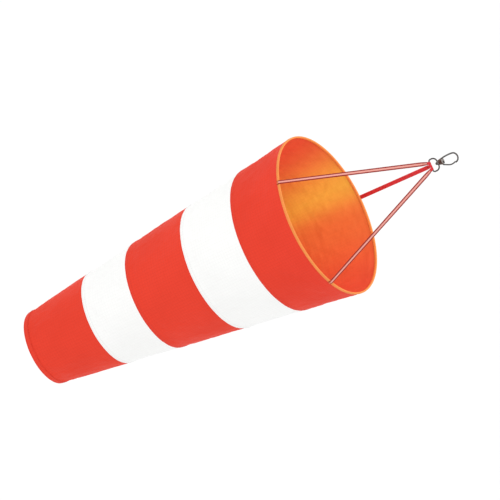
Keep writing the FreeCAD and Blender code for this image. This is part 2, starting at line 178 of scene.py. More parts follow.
def simulate_drape():
    """Cloth simulation of the whole sock, held at the hoop and stiffened at its seams.

    Returns how far each guide point moved, as an array of rows by columns by 3.
    """
    depths = np.linspace(0.0, SOCK_LENGTH, GUIDE_ROWS + 1)
    angles = np.linspace(0.0, 360.0, GUIDE_COLUMNS, endpoint=False)
    verts = [cone_point(d, a) for d in depths for a in angles]
    faces = []
    for row in range(GUIDE_ROWS):
        for column in range(GUIDE_COLUMNS):
            after = (column + 1) % GUIDE_COLUMNS
            faces.append((
                row * GUIDE_COLUMNS + column, row * GUIDE_COLUMNS + after,
                (row + 1) * GUIDE_COLUMNS + after, (row + 1) * GUIDE_COLUMNS + column,
            ))
    mesh = bpy.data.meshes.new("drape_guide")
    mesh.from_pydata([tuple(v) for v in verts], [], faces)
    guide = bpy.data.objects.new("drape_guide", mesh)
    scene = bpy.context.scene
    scene.collection.objects.link(guide)
    pins = guide.vertex_groups.new(name="held")
    for row, depth in enumerate(depths):
        held = 1.0 if depth < 2 * BINDING_HEIGHT else 0.0
        for seam in SEAM_DEPTHS + [SOCK_LENGTH]:
            held = max(held, SEAM_HOLD * math.exp(-((depth - seam) / SEAM_REACH) ** 2))
        if held > 0.01:
            first = row * GUIDE_COLUMNS
            pins.add(range(first, first + GUIDE_COLUMNS), held, "REPLACE")
    cloth = guide.modifiers.new("Cloth", "CLOTH")
    settings = cloth.settings
    settings.quality = 5
    settings.mass = 0.001
    settings.tension_stiffness = 12.0
    settings.compression_stiffness = 12.0
    settings.shear_stiffness = 6.0
    settings.bending_stiffness = 0.05
    settings.shrink_min = -0.004  # a little more cloth than the cone needs, so that it folds softly
    settings.use_pressure = True
    settings.uniform_pressure_force = 0.12
    settings.vertex_group_mass = "held"
    settings.pin_stiffness = 1.0
    cloth.collision_settings.use_collision = False
    for number in range(1, DRAPE_FRAMES + 1):
        scene.frame_set(number)
    graph = bpy.context.evaluated_depsgraph_get()
    settled = guide.evaluated_get(graph).to_mesh()
    after = np.array([v.co[:] for v in settled.vertices])
    moved = after - np.array([tuple(v) for v in verts])
    bpy.data.objects.remove(guide)
    scene.frame_set(1)
    length = np.linalg.norm(moved, axis=1, keepdims=True)
    moved *= np.minimum(1.0, DRAPE_LIMIT / np.maximum(length, 1e-9))
    return moved.reshape(GUIDE_ROWS + 1, GUIDE_COLUMNS, 3)


drape = simulate_drape()


def draped(depth, angle):
    """How far the cloth at a depth and angle has moved, from the guide."""
    row = min(max(depth / SOCK_LENGTH, 0.0), 1.0) * GUIDE_ROWS
    column = (angle % 360.0) / 360.0 * GUIDE_COLUMNS
    r0, c0 = min(int(row), GUIDE_ROWS - 1), int(column) % GUIDE_COLUMNS
    fr, fc = row - r0, column - int(column)
    c1 = (c0 + 1) % GUIDE_COLUMNS
    above = drape[r0, c0] * (1 - fc) + drape[r0, c1] * fc
    below = drape[r0 + 1, c0] * (1 - fc) + drape[r0 + 1, c1] * fc
    return Vector(above * (1 - fr) + below * fr)


def pucker(depth, angle):
    """Small ridges that run out from each seam, where the thread has drawn the cloth in."""
    total = 0.0
    out = around(angle)
    for number, seam in enumerate([BINDING_HEIGHT] + SEAM_DEPTHS + [SOCK_LENGTH - HEM_HEIGHT]):
        away = abs(depth - seam)
        if away > 40 * MM:
            continue
        radius = cone_radius(seam)
        place = out * (radius / (13 * MM))
        ridge = noise.noise(Vector((place.x, place.y, 7.3 * number)))
        fine = noise.noise(Vector((place.x * 2.3, place.y * 2.3, 3.1 * number)))
        total += (0.42 * ridge + 0.16 * fine) * MM * math.exp(-(away / (16 * MM)) ** 2)
    return total


def side_seam_rise(depth, angle, seam_angle):
    """The lengthwise seam's double layer."""
    away = abs((angle - seam_angle + 180.0) % 360.0 - 180.0) / 360.0 * 2 * math.pi * cone_radius(depth)
    return 0.4 * MM * (1 - smooth(away, 3.6 * MM, 4.6 * MM))


def cloth_point(depth, angle, out, seam_angle=SEAM_ANGLE, wrinkle=1.0, seam_side=1.0):
    """A point of the sock's cloth, out metres from its outer face.  seam_side is -1 to rise inwards."""
    lift = out + wrinkle * pucker(depth, angle) + seam_side * side_seam_rise(depth, angle, seam_angle)
    return cone_point(depth, angle, lift) + draped(depth, angle)


def flat_place(depth, angle, middle=SEAM_ANGLE + 180.0):
    """Where a point of the cone lies on the flat, unrolled cloth, cut square to its middle line."""
    lean = math.atan(SLOPE)
    slant = cone_radius(depth) / math.sin(lean)
    turn = math.radians(angle - middle) * math.sin(lean)
    return (slant * math.sin(turn), slant * math.cos(turn))


def lining_flat_place(depth, angle):
    return flat_place(depth, angle, LINING_SEAM_ANGLE + 180.0)


def ring_mesh(profile, place, flat, columns=COLUMNS, start=0.0):
    """A closed outline of (depth, out) points carried all the way round the sock."""
    step = 360.0 / columns
    count = len(profile)
    verts = []
    for column in range(columns):
        angle = start + column * step
        verts += [place(depth, angle, out) for depth, out in profile]
    faces, corners = [], []
    run = [0.0]
    for a, b in zip(profile, profile[1:] + profile[:1]):
        run.append(run[-1] + math.dist(a, b))
    for column in range(columns):
        after = (column + 1) % columns
        angles = (start + column * step, start + (column + 1) * step)
        for number in range(count):
            following = (number + 1) % count
            faces.append((
                column * count + number, after * count + number,
                after * count + following, column * count + following,
            ))
            here, ahead = profile[number][0], profile[following][0]
            if flat:
                corners += [
                    flat(here, angles[0]), flat(here, angles[1]),
                    flat(ahead, angles[1]), flat(ahead, angles[0]),
                ]
            else:
                across = [math.radians(a) * cone_radius(here) for a in angles]
                corners += [
                    (across[0], run[number]), (across[1], run[number]),
                    (across[1], run[number + 1]), (across[0], run[number + 1]),
                ]
    return verts, faces, corners


def cloth_outline(top, bottom, outer, inner):
    """Outline of a strip of cloth: down its outer face, round its lower edge and up its inner face."""
    rows = max(2, round((bottom - top) / ROW_STEP))
    depths = [top + (bottom - top) * row / rows for row in range(rows + 1)]
    down = [(d, outer(d)) for d in depths]
    up = [(d, inner(d)) for d in reversed(depths)]
    thick = outer(bottom) - inner(bottom)
    middle = (outer(bottom) + inner(bottom)) / 2
    bulge = [
        (bottom + thick / 2 * math.sin(t), middle + thick / 2 * math.cos(t))
        for t in (math.pi / 4, math.pi / 2, 3 * math.pi / 4)
    ]
    return down + bulge + up


# ---- threads -----------------------------------------------------------------------------------------
def add_thread(verts, faces, points, radius):
    """A closed round thread along the points, drawn in at both ends."""
    first = len(verts)
    last = len(points) - 1
    for number, point in enumerate(points):
        ahead = (points[min(number + 1, last)] - points[max(number - 1, 0)]).normalized()
        side = ahead.orthogonal().normalized()
        other = ahead.cross(side)
        size = radius * (0.55 if number in (0, last) else 1.0)
        for turn in range(THREAD_SIDES):
            t = 2 * math.pi * turn / THREAD_SIDES
            verts.append(point + side * (size * math.cos(t)) + other * (size * math.sin(t)))
    for number in range(last):
        for turn in range(THREAD_SIDES):
            after = (turn + 1) % THREAD_SIDES
            base = first + number * THREAD_SIDES
            faces.append((
                base + turn, base + after,
                base + THREAD_SIDES + after, base + THREAD_SIDES + turn,
            ))
    faces.append(tuple(first + turn for turn in reversed(range(THREAD_SIDES))))
    faces.append(tuple(first + last * THREAD_SIDES + turn for turn in range(THREAD_SIDES)))


def stitch_along(path, length, material, name):
    """A row of running stitches.  path(share, out) gives points; length is the row's length."""
    count = max(1, round(length / (STITCH + STITCH_GAP)))
    cover = STITCH / (STITCH + STITCH_GAP)
    verts, faces = [], []
    for number in range(count):
        points = []
        for part in range(5):
            share = (number + cover * part / 4) / count
            out = -STITCH_SINK + (STITCH_RISE + STITCH_SINK) * math.sin(math.pi * part / 4)
            points.append(path(share, out))
        add_thread(verts, faces, points, THREAD)
    return new_object(name, verts, faces, "sock", [material])


def stitch_round(depth, out, material, name, place):
    """A row of stitches all the way round the sock."""
    return stitch_along(
        lambda share, lift: place(depth, 360.0 * share, out + lift),
        2 * math.pi * cone_radius(depth), material, name)


# ---- materials ---------------------------------------------------------------------------------------
class Nodes:
    """Short ways to add and join shader nodes."""

    def __init__(self, name):
        self.material = bpy.data.materials.new(name)
        self.material.use_nodes = True
        self.tree = self.material.node_tree
        self.shader = self.tree.nodes["Principled BSDF"]

    def add(self, kind, **values):
        node = self.tree.nodes.new(kind)
        for name, value in values.items():
            setattr(node, name, value)
        return node

    def join(self, source, target):
        self.tree.links.new(source, target)

    def math(self, operation, first, second=None, third=None):
        node = self.add("ShaderNodeMath", operation=operation)
        for socket, value in zip(node.inputs, (first, second, third)):
            if value is None:
                continue
            if isinstance(value, (int, float)):
                socket.default_value = value
            else:
                self.join(value, socket)
        return node.outputs[0]

    def noise(self, scale, detail, roughness=0.5):
        node = self.add("ShaderNodeTexNoise")
        node.inputs["Scale"].default_value = scale
        node.inputs["Detail"].default_value = detail
        node.inputs["Roughness"].default_value = roughness
        self.join(self.place(), node.inputs["Vector"])
        return node.outputs["Fac"]

    def place(self):
        """The point on the object, in metres."""
        return self.add("ShaderNodeTexCoord").outputs["Object"]

    def flat(self):
        """(across, along) on the flat cloth, in metres."""
        node = self.add("ShaderNodeSeparateXYZ")
        self.join(self.add("ShaderNodeUVMap", uv_map="flat").outputs[0], node.inputs[0])
        return node.outputs[0], node.outputs[1]

    def span(self, value, low, high, out_low=0.0, out_high=1.0):
        """A smooth step from out_low at low to out_high at high."""
        node = self.add("ShaderNodeMapRange", interpolation_type="SMOOTHSTEP")
        ends = {"From Min": low, "From Max": high, "To Min": out_low, "To Max": out_high}
        for socket, number in ends.items():
            node.inputs[socket].default_value = number
        self.join(value, node.inputs["Value"])
        return node.outputs[0]

    def blend(self, factor, first, second):
        node = self.add("ShaderNodeMix", data_type="RGBA")
        for socket, value in ((node.inputs[0], factor), (node.inputs[6], first), (node.inputs[7], second)):
            if isinstance(value, tuple):
                socket.default_value = (*value, 1.0)
            elif isinstance(value, (int, float)):
                socket.default_value = value
            else:
                self.join(value, socket)
        return node.outputs[2]

    def bump(self, height, distance, strength):
        node = self.add("ShaderNodeBump")
        node.inputs["Strength"].default_value = strength
        node.inputs["Distance"].default_value = distance
        self.join(height, node.inputs["Height"])
        self.join(node.outputs[0], self.shader.inputs["Normal"])

    def settings(self, **values):
        for name, value in values.items():
            self.shader.inputs[name.replace("_", " ")].default_value = value


def times(colour, factor):
    return tuple(channel * factor for channel in colour)


RIPSTOP_PITCH = 5.5 * MM
RIPSTOP_LINE = 0.42 * MM   # half the width of a thick thread
WEAVE_PITCH = 0.5 * MM
CLOTH_ROUGHNESS = 0.66
# the darkening of the lining's weave towards this colour is painted shade in the weave's hollows
LINING_SHADE = (0.25, 0.02, 0.01)  # the lining's mottling and weave lean towards this dark red


def ripstop(nodes):
    """(grid, weave, threads) of ripstop cloth: thicker threads in a square grid, the plain weave between
    them, and a value that changes from thread to thread."""
    across, along = nodes.flat()
    lines = []
    for direction in (across, along):
        away = nodes.math("PINGPONG", direction, RIPSTOP_PITCH / 2)
        lines.append(nodes.span(away, RIPSTOP_LINE * 0.4, RIPSTOP_LINE, 1.0, 0.0))
    grid = nodes.math("MAXIMUM", *lines)
    waves = [
        nodes.math("SINE", nodes.math("MULTIPLY", direction, 2 * math.pi / WEAVE_PITCH))
        for direction in (across, along)
    ]
    weave = nodes.math("MULTIPLY", *waves)
    threads = []
    for direction in (across, along):
        number = nodes.math("FLOOR", nodes.math("DIVIDE", direction, WEAVE_PITCH))
        random = nodes.add("ShaderNodeTexWhiteNoise", noise_dimensions="1D")
        nodes.join(number, random.inputs["W"])
        threads.append(random.outputs["Value"])
    return grid, weave, nodes.math("MULTIPLY", *threads)


def cloth_material(name, colour, shade=0.93, ramp=None):
    """Ripstop nylon, with painted shade in the weave's hollows and darker grid threads.  ramp, if given,
    makes the colour from the nodes instead of one colour.
    """
    nodes = Nodes(name)
    grid, weave, threads = ripstop(nodes)
    mottle = nodes.noise(9.0, 3.0)
    if ramp:
        base = ramp(nodes)
        dark = nodes.blend(1.0 - shade, base, LINING_SHADE)
        hollow_shade_and_grid_colour = nodes.blend(0.15, base, LINING_SHADE)
    else:
        base = colour
        dark = times(colour, shade)
        hollow_shade_and_grid_colour = times(colour, 2.4 * shade - 1.4)
    varied = nodes.blend(nodes.span(mottle, 0.35, 0.70), base, dark)
    # painted shade in the weave's hollows, plus a tone that changes from thread to thread
    depth = nodes.math("MULTIPLY", nodes.span(weave, -1.0, 0.6, 1.0, 0.0), 0.45)
    depth = nodes.math("ADD", depth, nodes.math("MULTIPLY", threads, 0.15))
    woven = nodes.blend(depth, varied, hollow_shade_and_grid_colour)
    lined = nodes.blend(nodes.math("MULTIPLY", grid, 0.70), woven, hollow_shade_and_grid_colour)
    nodes.join(lined, nodes.shader.inputs["Base Color"])
    gloss = nodes.span(mottle, 0.3, 0.7, CLOTH_ROUGHNESS - 0.05, CLOTH_ROUGHNESS + 0.06)
    nodes.join(gloss, nodes.shader.inputs["Roughness"])
    height = nodes.math("ADD", nodes.math("MULTIPLY", grid, 0.75), nodes.math("MULTIPLY", weave, 0.25))
    nodes.bump(height, 0.10 * MM, 0.55)
    nodes.settings(Specular_IOR_Level=0.12)
    return nodes.material


LINING_RED = 1.045         # the red and green of the lining's colours are raised this much
LINING_GREEN = 1.02


def lining_colour_painted_highlight(nodes):
    """The lining's orange, palest a little to the -X side of the sock's axis, at its front and rear alike: a
    painted highlight strip that turns red towards the sides.
    """
    split = nodes.add("ShaderNodeSeparateXYZ")
    nodes.join(nodes.place(), split.inputs[0])
    x, y = split.outputs[0], split.outputs[1]
    squares = [nodes.math("MULTIPLY", value, value) for value in (x, y)]
    radius = nodes.math("SQRT", nodes.math("ADD", *squares))
    side = nodes.math("DIVIDE", x, nodes.math("MAXIMUM", radius, 1 * MM))
    share = nodes.math("MULTIPLY_ADD", side, 0.5, 0.5)
    ramp = nodes.add("ShaderNodeValToRGB")
    stops = ramp.color_ramp
    # the stops paint a pale orange strip near the middle that fades to red at both ends: a painted highlight
    colours = (
        (0.04, (0.680, 0.082, 0.034)), (0.11, (0.695, 0.125, 0.040)), (0.18, (0.715, 0.195, 0.046)),
        (0.25, (0.735, 0.285, 0.049)), (0.32, (0.755, 0.375, 0.053)), (0.38, (0.765, 0.415, 0.055)),
        (0.43, (0.760, 0.365, 0.052)), (0.48, (0.745, 0.275, 0.048)), (0.52, (0.735, 0.205, 0.044)),
        (0.57, (0.725, 0.172, 0.041)), (0.68, (0.715, 0.150, 0.040)), (0.85, (0.695, 0.105, 0.038)),
        (0.96, (0.680, 0.080, 0.036)),
    )
    while len(stops.elements) < len(colours):
        stops.elements.new(0.5)
    for element, (position, (red, green, blue)) in zip(stops.elements, colours):
        element.position = position
        element.color = (red * LINING_RED, green * LINING_GREEN, blue, 1.0)
    nodes.join(share, ramp.inputs[0])
    return ramp.outputs[0]


def thread_material(name, colour):
    nodes = Nodes(name)
    twist = nodes.add("ShaderNodeTexWave", wave_type="BANDS", bands_direction="DIAGONAL")
    twist.inputs["Scale"].default_value = 600.0
    nodes.join(nodes.place(), twist.inputs["Vector"])
    # the twist's grooves are painted darker: painted shade
    shade = nodes.blend(twist.outputs["Fac"], times(colour, 0.72), colour)
    nodes.join(shade, nodes.shader.inputs["Base Color"])
    nodes.bump(twist.outputs["Fac"], 0.05 * MM, 0.6)
    nodes.settings(Roughness=0.55, Sheen_Weight=0.2, Specular_IOR_Level=0.3)
    return nodes.material


def ribbed_material(name, colour, rib, dark=0.78, painted_highlight=None, painted_highlight_half=0.0):
    """Woven tape with ribs across its length, painted darker in the valleys between the ribs as painted
    shade.  A painted highlight, if given, runs along the middle as a pale strip.
    """
    nodes = Nodes(name)
    across, along = nodes.flat()
    wave = nodes.math("SINE", nodes.math("MULTIPLY", along, 2 * math.pi / rib))
    ribs = nodes.span(wave, -1.0, 1.0)
    mottle = nodes.noise(60.0, 3.0)
    base = nodes.blend(nodes.span(mottle, 0.3, 0.7), colour, times(colour, 0.9))
    if painted_highlight:
        away = nodes.math("ABSOLUTE", across)
        # the pale middle strip is a painted highlight
        inside = nodes.span(away, painted_highlight_half * 0.86, painted_highlight_half * 1.05, 1.0, 0.0)
        base = nodes.blend(inside, base, painted_highlight)
    # the valleys between the ribs are painted darker: painted shade
    painted_valley_shade = nodes.math("MULTIPLY", nodes.span(ribs, 0.0, 0.6, 1.0, 0.0), 0.5)
    shaded = nodes.blend(painted_valley_shade, base, times(colour, dark))
    nodes.join(shaded, nodes.shader.inputs["Base Color"])
    nodes.bump(ribs, 0.10 * MM, 0.7)
    nodes.settings(Roughness=0.62, Specular_IOR_Level=0.15)
    return nodes.material


METAL_GRAIN = 220.0        # worn patches in a metre, about
# the light grey painted on the barrel's top: a painted highlight
PAINTED_HIGHLIGHT_METAL = (0.30, 0.27, 0.25)


def metal_material(name, colour, roughness, worn, highlight_above=None):
    """Metal with fine scratches and rubbed, lighter patches, and a painted highlight of lighter metal above a
    height, if one is given.
    """
    nodes = Nodes(name)
    scratches = nodes.noise(METAL_GRAIN * 6, 4.0, roughness=0.7)
    patches = nodes.noise(METAL_GRAIN, 3.0)
    rubbed = nodes.math("MULTIPLY", nodes.span(patches, 0.42, 0.74), 0.75)
    base = nodes.blend(rubbed, colour, worn)
    if highlight_above is not None:
        split = nodes.add("ShaderNodeSeparateXYZ")
        nodes.join(nodes.place(), split.inputs[0])
        # painted highlight: lighter metal above the given height
        painted_highlight_band = nodes.span(split.outputs[2], highlight_above - 0.15 * MM, highlight_above)
        base = nodes.blend(painted_highlight_band, base, PAINTED_HIGHLIGHT_METAL)
    nodes.join(base, nodes.shader.inputs["Base Color"])
    gloss = nodes.span(scratches, 0.3, 0.7, roughness - 0.08, roughness + 0.10)
    nodes.join(gloss, nodes.shader.inputs["Roughness"])
    nodes.bump(scratches, 0.02 * MM, 0.35)
    nodes.settings(Metallic=1.0)
    return nodes.material


RED = (0.815, 0.052, 0.026)
WHITE = (0.940, 0.942, 0.930)
BINDING_ORANGE = (0.945, 0.318, 0.076)
TAPE_RED = (0.775, 0.046, 0.056)
# the bridle tape's outer face: its dark red sides are painted shade and its pale pink middle is a painted
# highlight, together standing in for a round cord's shading
TAPE_EDGE_PAINTED_SHADE = (0.335, 0.030, 0.023)
PAINTED_HIGHLIGHT_PINK = (0.970, 0.450, 0.385)
PAINTED_HIGHLIGHT_HALF = TAPE_WIDTH * 0.215
BRONZE = (0.085, 0.045, 0.036)
WORN_BRONZE = (0.20, 0.13, 0.10)
BARREL_HIGHLIGHT_RIM = 0.35 * MM     # the barrel is painted lighter this far below its top, as a painted highlight

red_cloth = cloth_material("red_ripstop", RED)
white_cloth = cloth_material("white_ripstop", WHITE, shade=0.965)
orange_lining_painted_highlight = cloth_material("orange_lining_cloth_painted_highlight", None, shade=0.93, ramp=lining_colour_painted_highlight)
# its rib valleys get a deeper painted shade
binding_tape = ribbed_material("orange_binding_tape", BINDING_ORANGE, 0.9 * MM, dark=0.62)
red_thread = thread_material("red_thread", (0.60, 0.035, 0.022))
white_thread = thread_material("white_thread", (0.80, 0.80, 0.79))
orange_thread = thread_material("orange_thread", (0.90, 0.24, 0.05))
pink_thread = thread_material("pink_thread", (0.90, 0.33, 0.26))
tape_plain = ribbed_material("red_tape_inner_face", TAPE_RED, 0.7 * MM)
tape_painted_highlight = ribbed_material(
    "red_tape_outer_face_painted_highlight", TAPE_EDGE_PAINTED_SHADE, 0.7 * MM, painted_highlight=PAINTED_HIGHLIGHT_PINK, painted_highlight_half=PAINTED_HIGHLIGHT_HALF)
dark_metal = metal_material("dark_steel", (0.098, 0.090, 0.086), 0.36, (0.185, 0.175, 0.170))
bronze_metal = metal_material("bronzed_stud", BRONZE, 0.40, WORN_BRONZE)
barrel_metal = metal_material(
    "bronzed_barrel", BRONZE, 0.40, WORN_BRONZE, highlight_above=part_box("swivel_barrel")[1].z - BARREL_HIGHLIGHT_RIM)
light_metal = metal_material("nickel_steel", (0.34, 0.33, 0.32), 0.30, (0.52, 0.51, 0.50))
spring_metal = metal_material("spring_wire", (0.42, 0.42, 0.43), 0.28, (0.60, 0.60, 0.60))


# ---- sock --------------------------------------------------------------------------------------------
def band_faces(bottom, folded):
    """The outer and inner face of a band: its lower edge is folded double and laps the next band."""
    def rise(depth):
        return smooth(depth, bottom - LAP - 1.5 * MM, bottom - LAP) if folded else 0.0

    def outer(depth):
        return FOLD_RISE * rise(depth)

    def inner(depth):
        return -CLOTH + (CLOTH + 0.06 * MM) * rise(depth)

    return outer, inner


def make_band(name, top, bottom, cloth, lapped_above, folded_below):
    start = top - LAP + 1 * MM if lapped_above else top
    outline = cloth_outline(start, bottom, *band_faces(bottom, folded_below))
    verts, faces, flat = ring_mesh(outline, cloth_point, flat_place, start=SEAM_ANGLE)
    piece = new_object(f"cloth_{name}", verts, faces, "sock", [cloth], flat)
    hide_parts(name)
    mean = math.pi * (cone_radius(top) + cone_radius(bottom))
    2 * math.pi * cone_radius(top) + LAP


def side_stitches(name, top, bottom, thread):
    """Two rows of stitches along the lengthwise seam."""
    for number, offset in enumerate((-1.9 * MM, 1.9 * MM)):
        def path(share, lift, offset=offset):
            depth = top + (bottom - top) * share
            turn = math.degrees(offset / cone_radius(depth))
            return cloth_point(depth, SEAM_ANGLE + turn, lift)
        piece = stitch_along(path, bottom - top, thread, f"side_stitches_{name}_{number + 1}")


def make_bands():
    top = BINDING_HEIGHT * 0.6  # the cloth's upper edge is inside the binding
    for number, (name, bottom) in enumerate(zip(BANDS, BAND_ENDS)):
        white = name.startswith("white")
        last = number == len(BANDS) - 1
        make_band(name, top, bottom, white_cloth if white else red_cloth, number > 0, not last)
        thread = white_thread if white else red_thread
        foot = bottom - (HEM_HEIGHT if last else LAP)
        side_stitches(name, top + BINDING_HEIGHT, foot, thread)
        if not last:
            for row, back in enumerate((1.8 * MM, 6.2 * MM)):
                stitches = stitch_round(
                    bottom - back, FOLD_RISE, thread, f"seam_stitches_{number + 1}_{row + 1}", cloth_point)
        top = bottom


def lining_point(depth, angle, out):
    """The lining lies just inside the bands and hangs a little looser towards its lower edge."""
    loose = smooth(depth, 30 * MM, LINING_END)
    place = around(angle) * (cone_radius(depth) / (34 * MM))
    slack = noise.noise(Vector((place.x, place.y, depth / (60 * MM)))) - 0.5
    inward = -0.42 * MM + 0.9 * MM * loose * min(slack, 0.0)
    return cloth_point(depth, angle, out + inward, LINING_SEAM_ANGLE, wrinkle=0.9, seam_side=-1.0)


def make_lining():
    hem = LINING_END - 6 * MM

    def outer(depth):
        return 0.0

    def inner(depth):
        return -CLOTH * (1 + 1.0 * smooth(depth, hem - 1 * MM, hem))

    outline = cloth_outline(BINDING_HEIGHT * 0.75, LINING_END, outer, inner)
    verts, faces, flat = ring_mesh(outline, lining_point, lining_flat_place, start=LINING_SEAM_ANGLE)
    piece = new_object("lining_cloth", verts, faces, "sock", [orange_lining_painted_highlight], flat)
    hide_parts("mouth_lining")
    stitches = stitch_round(hem + 1.5 * MM, -2.4 * CLOTH, orange_thread, "lining_hem_stitches", lining_point)


def tape_swell(angle, number):
    """Slight unevenness of a folded tape round the mouth."""
    place = around(angle) * (HOOP_RADIUS / (19 * MM))
    return 0.10 * MM * noise.noise(Vector((place.x, place.y, 5.0 * number)))


def binding_outline():
    """Tape folded over the hoop: a closed outline of (depth, distance from the sock's axis) points."""
    height = BINDING_HEIGHT
    tape = 0.45 * MM
    inner_leg = -1.1 * MM

    def shoulder(radius, degrees):
        t = math.radians(degrees)
        return (HOOP_DEPTH - radius * math.sin(t), HOOP_RADIUS + radius * math.cos(t))

    def leg(out, depth):
        return (depth, cone_radius(depth) + out)

    points = [leg(0.46 * MM, height - 0.1 * MM), leg(0.52 * MM, height * 0.75)]
    points += [leg(0.50 * MM, height * 0.55)]
    points += [shoulder(HOOP_DEPTH, degrees) for degrees in range(0, 181, 15)]
    points += [leg(inner_leg - 1.0 * MM, height * 0.52), leg(inner_leg - 0.56 * MM, height * 0.75)]
    points += [leg(inner_leg - 0.50 * MM, height - 0.1 * MM), leg(inner_leg - 0.27 * MM, height)]
    points += [leg(inner_leg - 0.04 * MM, height - 0.1 * MM), leg(inner_leg - 0.04 * MM, height * 0.75)]
    points += [shoulder(HOOP_DEPTH - tape, degrees) for degrees in range(200, -1, -20)]
    points += [leg(0.05 * MM, height * 0.75), leg(0.05 * MM, height - 0.1 * MM)]
    points += [leg(0.26 * MM, height)]
    return points


def binding_point(depth, angle, radius):
    centre = cone_radius(depth) - HOOP_RADIUS
    swell = tape_swell(angle, 1) * smooth(abs(radius - HOOP_RADIUS - centre / 2), 0.5 * MM, 2 * MM)
    grow = 1.0 if radius > HOOP_RADIUS else -1.0
    point = around(angle) * (radius + grow * swell)
    point.z = MOUTH_Z - depth
    return point


def make_binding():
    verts, faces, flat = ring_mesh(binding_outline(), binding_point, None, columns=2 * COLUMNS)
    swapped = [(v, u) for u, v in flat]
    piece = new_object("binding_fold", verts, faces, "sock", [binding_tape], swapped)
    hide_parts("mouth_binding")

    def outer_row(depth, angle, out):
        return binding_point(depth, angle, cone_radius(depth) + 0.49 * MM + out)

    def inner_row(depth, angle, out):
        return binding_point(depth, angle, cone_radius(depth) - 1.65 * MM - out)

    for name, row in (("outer", outer_row), ("inner", inner_row)):
        stitches = stitch_round(
            BINDING_HEIGHT - 1.2 * MM, 0.0, orange_thread, f"binding_stitches_{name}", row)


def make_hem():
    """Tape folded round the tail's raw edge, sewn with two rows."""
    tape = 0.32 * MM
    top = SOCK_LENGTH - HEM_HEIGHT
    depths = [top + HEM_HEIGHT * row / 5 for row in range(6)]
    turn = [(SOCK_LENGTH - 0.1 * MM + 0.45 * MM * math.sin(t), -CLOTH / 2 + 0.50 * MM * math.cos(t))
            for t in (math.pi / 6, math.pi / 2, 5 * math.pi / 6)]
    back = [(SOCK_LENGTH - 0.1 * MM + 0.12 * MM * math.sin(t), -CLOTH / 2 + 0.18 * MM * math.cos(t))
            for t in (5 * math.pi / 6, math.pi / 2, math.pi / 6)]
    outline = [(d, tape) for d in depths[:-1]] + turn
    outline += [(d, -CLOTH - tape) for d in reversed(depths[:-1])]
    outline += [(d, -CLOTH - 0.02 * MM) for d in depths[:-1]] + back
    outline += [(d, 0.02 * MM) for d in reversed(depths[:-1])]
    verts, faces, flat = ring_mesh(outline, cloth_point, flat_place, start=SEAM_ANGLE)
    piece = new_object("hem_fold", verts, faces, "sock", [red_cloth], flat)
    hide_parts("tail_hem")
    for row, back in enumerate((2.2 * MM, 7.8 * MM)):
        stitches = stitch_round(SOCK_LENGTH - back, tape, red_thread, f"hem_stitches_{row + 1}", cloth_point)


# ---- bridle ------------------------------------------------------------------------------------------
def ribbon(name, centres, acrosses, widths, materials, outer_face_side):
    """A flat tape with rounded edges.

    Its outer face and its edges take materials[0], and its inner face and its ends take materials[1].
    """
    count = len(centres)
    thick = TAPE_THICK
    edge = thick * 0.42
    shares = (-0.98, -0.62, -0.25, 0.25, 0.62, 0.98)
    inner_face = range(len(shares) + 1, 2 * len(shares) + 2)

    def crown(share):
        return thick / 2 * (1 - 0.12 * share * share)

    verts, along = [], [0.0]
    section = []
    for number in range(count):
        before, after = centres[max(number - 1, 0)], centres[min(number + 1, count - 1)]
        ahead = (after - before).normalized()
        across = (acrosses[number] - ahead * acrosses[number].dot(ahead)).normalized()
        out = across.cross(ahead) * outer_face_side
        half = widths[number] / 2
        places = [(share * (half - edge), crown(share)) for share in shares]
        places += [(half, thick * 0.16), (half, -thick * 0.16)]
        places += [(share * (half - edge), -crown(share)) for share in reversed(shares)]
        places += [(-half, -thick * 0.16), (-half, thick * 0.16)]
        verts += [centres[number] + across * a + out * o for a, o in places]
        section.append([a / half * TAPE_WIDTH / 2 for a, o in places])
        if number:
            along.append(along[-1] + (centres[number] - centres[number - 1]).length)
    size = len(section[0])
    faces, flat, slots = [], [], []
    for number in range(count - 1):
        for corner in range(size):
            following = (corner + 1) % size
            base = number * size
            faces.append((base + corner, base + following, base + size + following, base + size + corner))
            here, ahead = section[number], section[number + 1]
            flat += [
                (here[corner], along[number]), (here[following], along[number]),
                (ahead[following], along[number + 1]), (ahead[corner], along[number + 1]),
            ]
            slots.append(1 if corner in inner_face else 0)
    for end, order in ((0, range(size - 1, -1, -1)), (count - 1, range(size))):
        faces.append(tuple(end * size + corner for corner in order))
        flat += [(section[end][corner], along[end]) for corner in order]
        slots.append(1)
    return new_object(name, verts, faces, "sock", materials, flat, slots)


class Leg:
    """One bridle leg: its loop round the eye's bar, its straight run and its end over the rim."""

    def __init__(self, bar_x, angle):
        self.out = around(angle)
        self.tangent = Vector((0, 0, 1)).cross(self.out)
        if self.tangent.x < 0:
            self.tangent.negate()
        self.bar = Vector((bar_x, 0, BAR_Z))
        self.lean = math.atan2(HOOP_RADIUS, BAR_Z - MOUTH_Z)
        self.reach = HOOP_DEPTH + TAPE_THICK / 2 + 0.10 * MM
        self.rim = self.on_shoulder(self.lean)
        self.down = (self.rim - self.bar).normalized()
        self.length = (self.rim - self.bar).length

    def on_shoulder(self, turn):
        point = self.out * (HOOP_RADIUS + self.reach * math.cos(turn))
        point.z = MOUTH_Z - HOOP_DEPTH + self.reach * math.sin(turn)
        return point

    def across(self, share):
        """Along the bar at the top, along the rim at the bottom."""
        return (Vector((1, 0, 0)) * (1 - share) + self.tangent * share).normalized()

    def outward(self, share):
        """At right angles to the tape, away from the sock's axis."""
        side = self.across(share).cross(self.down)
        return side if side.dot(self.out) > 0 else -side

    def at(self, distance):
        return self.bar + self.down * distance


RUN_STEPS = 60


def tape_width(distance):
    """The tape is gathered at the bar and opens to its full width where the doubled part ends."""
    return LOOP_WIDTH + (TAPE_WIDTH - LOOP_WIDTH) * smooth(distance, 0.0, LOOP_DOUBLED)


